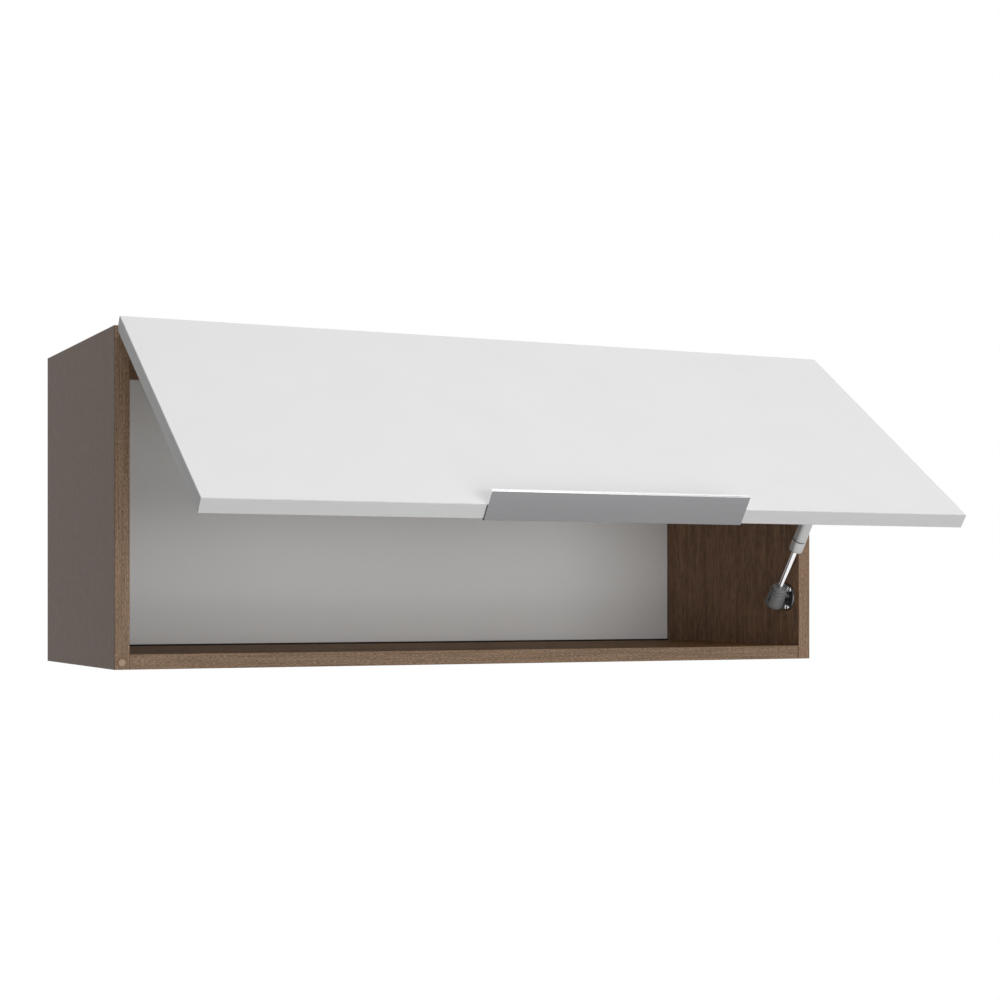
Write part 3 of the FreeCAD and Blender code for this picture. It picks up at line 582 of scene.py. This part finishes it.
def makeHandle():
    # one J-shaped profile, rounded at its corners, with a shadow groove low in its lip, carried along x and
    # closed at both ends
    c, h = cabinet, handle
    tip, heel, under = c["doorFace"] - h["reach"], c["doorBack"] + h["flange"], c["doorBottom"] - h["plate"]
    low, high, deep = under + h["groove"][0], under + h["groove"][1], tip + h["grooveDepth"]
    crisp, edge = h["crispEdge"], h["grooveEdge"]
    corners = [
        (heel, c["doorBottom"] + h["flangeHeight"], crisp), (heel, under, h["outerFold"]),
        (tip, under, crisp), (tip, low, edge), (deep, low, edge), (deep, high, edge), (tip, high, edge),
        (tip, under + h["lip"], crisp), (tip + h["lipThickness"], under + h["lip"], crisp),
        (tip + h["lipThickness"], c["doorBottom"], h["innerFold"]), (c["doorBack"], c["doorBottom"], 0.0),
        (c["doorBack"], c["doorBottom"] + h["flangeHeight"], crisp),
    ]
    profile = filleted(corners, closed=True)
    x = np.linspace(-h["length"] / 2, h["length"] / 2, h["stations"])
    grid = np.empty((len(x), len(profile), 3))
    grid[..., 0] = x[:, None]
    grid[..., 1:] = profile[None]
    grid = opened(grid)
    makePiece("handleProfile", [(grid, False, True)], anodisedAluminium, "handle_profile",
              ends=(grid[0], grid[-1][::-1]))


makeHandle()
print("handle made")


screwHead = {                # all but the point are shares of the head's radius or rise
    "domeEdge": 0.88, "domeFall": 0.4, "rimHeight": 0.5, "rimRound": 0.25,
    "slotLong": 0.55, "slotWide": 0.13, "slotDeep": 0.36, "slotWall": 0.045, "point": 2.0,
}


def screw(seat, direction, radius, rise, shank, length, flat=False):
    # rings round the screw's axis: a head whose height falls with the square of the radius,
    # pressed in along two soft-walled slots that cross, then its rim, shank and point
    h = screwHead
    share = np.linspace(0, h["domeEdge"], 15)
    dome = rise * (1 - h["domeFall"] * share ** 2)
    rim = filleted([(h["domeEdge"] * radius, dome[-1], 0),
                    (radius, h["rimHeight"] * rise, h["rimRound"] * radius), (radius, 0, 0)])
    if flat:
        rim = np.array([(0.97 * radius, 0), (radius, -0.08), (radius, -0.12)])
    under = [(shank, shank - radius if flat else 0), (shank, h["point"] - length), (0, -length)]
    profile = np.concatenate([np.stack([share * radius, dome], -1), rim, under])
    grid, _, _ = turned(profile, (0, 0, 0), (0, 0, 1), 48)

    def wall(v, half):
        return 0.5 - 0.5 * np.tanh((np.abs(v) - half * radius) / (h["slotWall"] * radius))
    x, y = grid[..., 0], grid[..., 1]
    slots = np.maximum(wall(x, h["slotLong"]) * wall(y, h["slotWide"]),
                       wall(y, h["slotLong"]) * wall(x, h["slotWide"]))
    onHead = np.arange(len(profile))[:, None] < len(share)
    grid[..., 2] -= np.where(onHead, slots * h["slotDeep"] * radius, 0)
    out = -unit(direction)
    u, w = squareTo(out)
    return np.asarray(seat) + grid[..., 0:1] * u + grid[..., 1:2] * w + grid[..., 2:3] * out


screws = {
    "small": {"radius": 3.2, "rise": 1.6, "shank": 1.75},
    "hanger": {"radius": 3.6, "rise": 2.0, "shank": 1.75},
    "plate": {"radius": 3.6, "rise": 2.2, "shank": 1.75},
    "handle": {"radius": 3.3, "rise": 0.0, "shank": 1.75, "flat": True},
    "hingeLength": 13.0, "hangerLength": 13.0, "strutLength": 14.0, "handleLength": 12.0,
    "hingePlaces": ((-16.0, 30.0), (0.0, 15.0), (16.0, 30.0)),
    "hingeCentre": 300.0, "leaf": 1.2, "leafDrop": 6.0,
    "hangerPlaces": ((14.0, 32.0), (31.0, 12.0)), "hangerLow": -23.2, "hangerThickness": 2.0,
    "plateCentre": (383.0, -270.5, -220.3), "plateCircle": 11.8,
    "plateTurns": (42.6, 162.6, 282.6),      # degrees from upright towards the front
    "bracketX": 370.0, "bracketZ": -94.19, "bracketReach": 18.0, "bracketFoot": 2.0,
    "handleShares": (-0.42, 0.0, 0.42), "handleHeight": 12.0,
}


def screwRow(seats, direction, length, shape, onDoor=True):
    # one screw for each seat; those on the door are turned with it to where it stands open
    made = [screw(seat, direction, length=length, **shape) for seat in seats]
    return [(opened(grid) if onDoor else grid, False, True) for grid in made]


def makeScrews():
    c, s = cabinet, screws
    places = [(side * s["hingeCentre"] + across, back)
              for side in (-1, 1) for across, back in s["hingePlaces"]]
    seats = [(x, c["front"] + back, c["topUnder"] - s["leaf"]) for x, back in places]
    inFrame = screwRow(seats, (0, 0, 1), s["hingeLength"], s["small"], onDoor=False)
    makePiece("hingeScrewsInCabinet", inFrame, screwChrome, "hinge_frame_screws")
    seats = [(x, c["doorBack"] + s["leaf"], c["doorTop"] - s["leafDrop"] - back) for x, back in places]
    inDoor = screwRow(seats, (0, -1, 0), s["hingeLength"], s["small"])
    makePiece("hingeScrewsInDoor", inDoor, screwChrome, "hinge_door_screws")
    inHangers = []
    for side in (-1, 1):
        seats = [(side * (c["inner"] - s["hangerThickness"]), c["rear"] - out, s["hangerLow"] + height)
                 for out, height in s["hangerPlaces"]]
        inHangers += screwRow(seats, (side, 0, 0), s["hangerLength"], s["hanger"], onDoor=False)
    makePiece("hangerScrews", inHangers, screwChrome, "hanger_screws")
    seats = [s["plateCentre"] + np.array((0, -math.sin(turn), math.cos(turn))) * s["plateCircle"]
             for turn in np.radians(s["plateTurns"])]
    inPlate = screwRow(seats, (1, 0, 0), s["strutLength"], s["plate"], onDoor=False)
    makePiece("sidePlateScrews", inPlate, screwChrome, "side_plate_screws")
    seats = [(s["bracketX"], c["doorBack"] + s["bracketFoot"], s["bracketZ"] + way * s["bracketReach"])
             for way in (-1, 1)]
    inBracket = screwRow(seats, (0, -1, 0), s["strutLength"], s["small"])
    makePiece("doorBracketScrews", inBracket, screwChrome, "door_bracket_screws")
    seats = [(handle["length"] * share, c["doorBack"] + handle["flange"], c["doorBottom"] + s["handleHeight"])
             for share in s["handleShares"]]
    inHandle = screwRow(seats, (0, -1, 0), s["handleLength"], s["handle"])
    makePiece("handleScrews", inHandle, screwChrome, "handle_screws")


makeScrews()
print("screws made")


strut = {
    "ball": (370.0, -272.5, -218.6), "lean": 36.0, "length": 162.978,
    "ballRadius": 5.0, "studRadius": 3.0, "collarStep": 1.8, "collarThickness": 1.4, "plateThickness": 2.0,
    "socketRadius": 10.0, "mouth": 7.5, "neck": 12.0, "tail": 14.0,
    "latchHalf": 2.3, "latchDeep": 2.6, "latchLow": -6.0, "latchHigh": 1.5,
    "rodRadius": 3.0, "rodStart": 6.0, "rodEnd": 89.87,
    "tubeFace": 62.87, "tubeRadius": 7.5, "tubeBore": 6.3, "tubeNeckStep": 0.7, "tubeTopGap": 0.5,
    "capRadius": 7.7, "capLength": 16.0, "capFloor": 1.6, "capHoleGap": 0.05,
}
strutLean = math.radians(strut["lean"])
strutAxis = np.array((0, -math.sin(strutLean), math.cos(strutLean)))
strutBase = np.array(strut["ball"])
strutTop = strutBase + strutAxis * strut["length"]
capGroove = {"low": strut["tubeFace"] + 13.4, "high": strut["tubeFace"] + 14.9, "depth": 0.7, "wall": 0.3}
# Moulded end cap: silver pigment in a satin moulding, with painted shade in the bottom of its ring groove.
# painted shade in the bottom of the cap's ring groove
paintedGrooveShade = {
    "layers": [{"cell": (1.8, 1.8, 1.8), "weight": 1.0}],
    "stops": [(0.3, "#2A2A2B"), (0.7, "#343435")], "roughness": (0.6, 0.7), "relief": 0.0005,
}
inGroove = both(beyond(strutAxis, strutBase @ strutAxis + capGroove["low"] + capGroove["wall"], 0.1),
                beyond(-strutAxis, -(strutBase @ strutAxis) - capGroove["high"] + capGroove["wall"], 0.1))
capPlastic = surface("silverMouldedCap", {
    "layers": [{"cell": (1.8, 1.8, 1.8), "weight": 1.0, "detail": 2.0}],
    "stops": [(0.3, "#AEAEAD"), (0.7, "#B4B4B3")], "roughness": (0.48, 0.54), "relief": 0.0005},
    (inGroove, paintedGrooveShade), **{"Metallic": 1.0, "Coat Weight": 0.6, "Coat Roughness": 0.25})


def inStrut(profile, closed=False):
    # turned about the strut's own axis
    return turned(profile, strutBase, strutAxis, 64, closed)


def ballSocket(base, axis):
    # a turned cup: radius follows a ringed profile, one side is cut flat where the ball goes in (x no further
    # than the mouth), and a latch slot is sunk into the other side
    s = strut
    r, rod, low, high = s["socketRadius"], s["rodRadius"], -s["tail"], s["neck"]
    profile = filleted([
        (0, low, 0), (r, low, 2.8), (r, 2.6, 0.3), (r - 1.1, 3.3, 0.3), (r - 1.1, 4.1, 0.2),
        (r - 0.1, 4.8, 0.4), (r - 0.1, 7.4, 0.4), (r - 1.5, 8.2, 0.2), (r - 1.5, 9.0, 0.2),
        (r - 0.7, 9.5, 0.3), (r - 0.8, high, 1.3), (rod + 0.9, high, 0.3),
        (rod + 0.02, high - 0.9, 0.3), (rod + 0.02, high - 4, 0), (0, high - 4, 0)], steps=5)
    # the slot's four edges get rings and lines of their own, so that its walls stand upright
    slotLow, slotHigh, slotWall, near = s["latchLow"], s["latchHigh"], 0.05, 0.01
    lines = np.array([(r, slotLow - slotWall), (r, slotLow), (r, slotHigh), (r, slotHigh + slotWall)])
    wall = int(np.argmax((profile[:, 1] > slotLow - 1) & (profile[:, 0] > r - near)))
    profile = np.insert(profile, wall, lines, axis=0)
    along, out = profile[:, 1], profile[:, 0]
    half = s["latchHalf"] / r
    angle = np.unique(np.concatenate([
        np.linspace(0, 2 * math.pi, 72, endpoint=False),
        math.pi + np.array((-half - near, -half, half, half + near)),
        np.array((1, -1)) * math.acos(s["mouth"] / r) % (2 * math.pi)]))
    inSlot = (along > slotLow - near) & (along < slotHigh + near) & (out > r - near)
    away = np.where((np.abs(angle - math.pi) < half + near / 10)[None] & inSlot[:, None], s["latchDeep"], 0)
    radius = profile[:, 0:1] - away
    x = np.minimum(radius * np.cos(angle), s["mouth"])
    across = np.cross(axis, (1.0, 0, 0))
    grid = base + x[..., None] * np.array((1.0, 0, 0)) + (radius * np.sin(angle))[..., None] * across
    return grid + profile[:, None, 1:2] * np.asarray(axis), False, True


def ballStud(base, face, tail):
    # ball, shank, collar and riveted tail, turned about x
    s = strut
    fromBall = math.acos(s["studRadius"] / s["ballRadius"])
    arc = np.linspace(-math.pi / 2, fromBall, 18)
    ball = np.stack([s["ballRadius"] * np.cos(arc), s["ballRadius"] * np.sin(arc)], -1)
    shank, collar, foot = s["studRadius"], s["studRadius"] + s["collarStep"], face - s["collarThickness"]
    rest = [(shank, face - 3, 0), (shank, foot, 0.3), (collar, foot, 0.3), (collar, face, 0)]
    rest += [(shank, face, 0), (shank, tail, 0)] if tail > face else []
    rest += [(0, max(face, tail), 0)]
    return turned(np.concatenate([ball, filleted(rest)]), base, (1, 0, 0), 40)


def makeStrut():
    s = strut
    cup = ballSocket(strutBase, strutAxis)
    makePiece("rodSocket", [cup], socketPlastic, "rod_socket")
    cup = ballSocket(strutTop, -strutAxis)
    makePiece("tubeSocket", [cup], socketPlastic, "tube_socket")
    rod, start, end = s["rodRadius"], s["rodStart"], s["rodEnd"]
    bar = inStrut([(0, start), (rod, start), (rod, end), (0, end)])
    makePiece("pistonRod", [bar], rodChrome, "piston_rod")
    face, capEnd = s["tubeFace"], s["tubeFace"] + s["capLength"]
    floor, upper = face + s["capFloor"], s["length"] - s["neck"] - s["tubeTopGap"]
    bore, neck, outer = s["tubeBore"], s["tubeRadius"] - s["tubeNeckStep"], s["tubeRadius"]
    shell = filleted([(bore, floor, 0), (neck, floor, 0), (neck, capEnd, 0), (outer, capEnd, 0.25),
                      (outer, upper, 1.1), (bore, upper, 0)], closed=True)
    makePiece("pressureTube", [inStrut(shell, closed=True)], tubePaint, "pressure_tube")
    cap, hole = s["capRadius"], rod + s["capHoleGap"]
    low, high, deep, wall = (capGroove[key] for key in ("low", "high", "depth", "wall"))
    lip = filleted([(hole, face, 0.3), (cap, face, 1.3), (cap, low, 0.15), (cap - deep, low + wall, 0.15),
                    (cap - deep, high - wall, 0.15), (cap, high, 0.15), (cap, capEnd, 0.2),
                    (neck, capEnd, 0), (neck, floor, 0), (hole, floor, 0)], closed=True, steps=4)
    makePiece("tubeEndCap", [inStrut(lip, closed=True)], capPlastic, "tube_end_cap")
    plateFace = cabinet["inner"] - s["plateThickness"] - s["ball"][0]
    stud = ballStud(strutBase, plateFace, plateFace + s["plateThickness"])
    makePiece("sideBallStud", [stud], plateSteel, "side_ball_stud")
    stud = ballStud(strutTop, s["socketRadius"], s["socketRadius"])
    makePiece("doorBallStud", [stud], screwChrome, "door_ball_stud")


makeStrut()
softened("sideBallPlate", "side_ball_plate", plateSteel, 0.4, 3)
softened("doorStrutBracket", "door_strut_bracket", zincSteel, 0.3)
print("strut made")


for side in ("left", "right"):
    softened(side + "HingeFrameLeaf", side + "_hinge_frame_leaf", zincSteel, 0.15)
    softened(side + "HingeDoorLeaf", side + "_hinge_door_leaf", zincSteel, 0.15)
    softened(side + "HingePin", side + "_hinge_pin", zincSteel, 0.2)
    softened(side + "Hanger", side + "_hanger_bracket", zincSteel, 0.5, 3)

buffer = {"radius": 4.0, "stand": 1.9, "rounding": 1.2, "place": (-393.0, -294.0, -283.0)}


def makeBuffer():
    # a low turned dome: flat top, wide rounding, nearly upright rim
    b = buffer
    profile = filleted([(0, 0, 0), (b["radius"], 0, 0), (b["radius"], b["stand"], b["rounding"]),
                        (0, b["stand"], 0)], steps=8)
    dome = turned(profile, b["place"], (0, -1, 0), 48)
    makePiece("doorBuffer", [dome], bumperRubber, "door_bumper", sharpAngle=50)


makeBuffer()
print("hinges, hangers and buffer made")


# The studio and the camera are in metres.
studio = {
    "floorHeight": -1.85, "floorRadius": 3.4, "floorClear": 2.0, "floorColour": "#E4E4E2",
    "floorSides": 96,
    "worldFill": 0.06, "worldSeen": 1.0,
    "aim": (0.0, -0.3, -0.1),
    "softboxes": {
        "over": {"place": (0.2, -1.6, 2.8), "size": (3.0, 2.0), "power": 66.5},
        "frontHigh": {"place": (0.6, -3.6, -0.1), "size": (3.2, 0.6), "power": 24.0},
        "front": {"place": (0.3, -3.6, -0.42), "size": (3.2, 1.5), "power": 24.0},
        "frontLow": {"place": (0.6, -4.2, -1.3), "size": (3.6, 1.0), "power": 17.0},
        "nearFloor": {"place": (0.3, -2.6, -1.5), "size": (3.0, 1.2), "power": 6.5},
        "left": {"place": (-1.8, -3.0, -0.5), "size": (1.6, 1.5), "power": 9.5},
        "right": {"place": (3.4, 1.6, 0.6), "size": (2.4, 2.0), "power": 30.0},
        "behind": {"place": (0.9, 3.3, 0.8), "size": (2.0, 1.4), "power": 30.0},
    },
}


def addSoftbox(name, place, size, power):
    lamp = bpy.data.lights.new(name, "AREA")
    lamp.shape, lamp.size, lamp.size_y, lamp.energy = "RECTANGLE", size[0], size[1], power
    box = bpy.data.objects.new(name, lamp)
    box.location = place
    toAim = unit(np.array(studio["aim"]) - np.array(place))
    box.rotation_euler = Vector(toAim).to_track_quat("-Z", "Y").to_euler()
    box.visible_camera = False
    bpy.context.scene.collection.objects.link(box)


def makeStudio():
    s = studio
    # the floor is a flat disc, radius times (cos a, sin a), from its middle to its rim
    sides = s["floorSides"]
    angle = np.linspace(0, 2 * math.pi, sides, endpoint=False)
    radius = np.array((0.0, s["floorRadius"]))[:, None, None]
    rim = np.stack([np.cos(angle), np.sin(angle)], -1)[None] * radius
    points = np.concatenate([rim, np.full((2, sides, 1), s["floorHeight"])], -1).reshape(-1, 3)
    mesh = bpy.data.meshes.new("studioFloor")
    mesh.from_pydata(points.tolist(), [], quads(2, sides, False, True)[:, ::-1].tolist())
    floor = bpy.data.objects.new("studioFloor", mesh)
    bpy.context.scene.collection.objects.link(floor)
    material = bpy.data.materials.new("mattPaintedFloor")
    material.use_nodes = True
    tree = material.node_tree
    tree.nodes.clear()
    place = addNode(tree, "ShaderNodeTexCoord").outputs["Object"]
    flat = addNode(tree, "ShaderNodeVectorMath", {0: place, 1: (1, 1, 0)}, operation="MULTIPLY").outputs[0]
    away = addNode(tree, "ShaderNodeVectorMath", {0: flat}, operation="LENGTH").outputs["Value"]
    fade = addNode(tree, "ShaderNodeMapRange", {
        "Value": away, "From Min": s["floorClear"], "From Max": s["floorRadius"]},
        interpolation_type="SMOOTHSTEP").outputs[0]
    paint = addNode(tree, "ShaderNodeBsdfDiffuse", {"Color": toLinear(s["floorColour"])}).outputs[0]
    clear = addNode(tree, "ShaderNodeBsdfTransparent").outputs[0]
    mixed = addNode(tree, "ShaderNodeMixShader", {0: fade, 1: paint, 2: clear}).outputs[0]
    addNode(tree, "ShaderNodeOutputMaterial", {"Surface": mixed})
    mesh.materials.append(material)
    floor.visible_glossy = False      # metal mirrors the white room, not the floor

    world = bpy.data.worlds.new("whiteStudio")
    bpy.context.scene.world = world
    world.use_nodes = True
    tree = world.node_tree
    tree.nodes.clear()
    path = addNode(tree, "ShaderNodeLightPath").outputs
    seen = addNode(tree, "ShaderNodeMath", {0: path["Is Camera Ray"], 1: path["Is Glossy Ray"]},
                   operation="MAXIMUM").outputs[0]
    seen = addNode(tree, "ShaderNodeMath", {0: seen, 1: path["Is Transmission Ray"]},
                   operation="MAXIMUM").outputs[0]
    level = addNode(tree, "ShaderNodeMapRange", {
        "Value": seen, "To Min": s["worldFill"], "To Max": s["worldSeen"]}).outputs[0]
    sky = addNode(tree, "ShaderNodeBackground", {"Color": (1, 1, 1, 1), "Strength": level}).outputs[0]
    addNode(tree, "ShaderNodeOutputWorld", {"Surface": sky})

    for name, box in s["softboxes"].items():
        addSoftbox(name + "Softbox", **box)


makeStudio()

camera = {
    "place": (-0.8683, -2.1336, -0.2189), "heading": 25.52, "lens": 69.86, "sensor": 36.0, "shiftUp": 0.0959,
    "nearest": 0.05, "furthest": 60.0,
}
lens = bpy.data.cameras.new("camera")
lens.lens, lens.sensor_width, lens.shift_y = camera["lens"], camera["sensor"], camera["shiftUp"]
lens.clip_start, lens.clip_end = camera["nearest"], camera["furthest"]
viewer = bpy.data.objects.new("camera", lens)
viewer.location = camera["place"]
viewer.rotation_euler = (math.radians(90), 0, -math.radians(camera["heading"]))
bpy.context.scene.collection.objects.link(viewer)
bpy.context.scene.camera = viewer
bpy.context.scene.view_settings.view_transform = "Standard"
print("studio made")
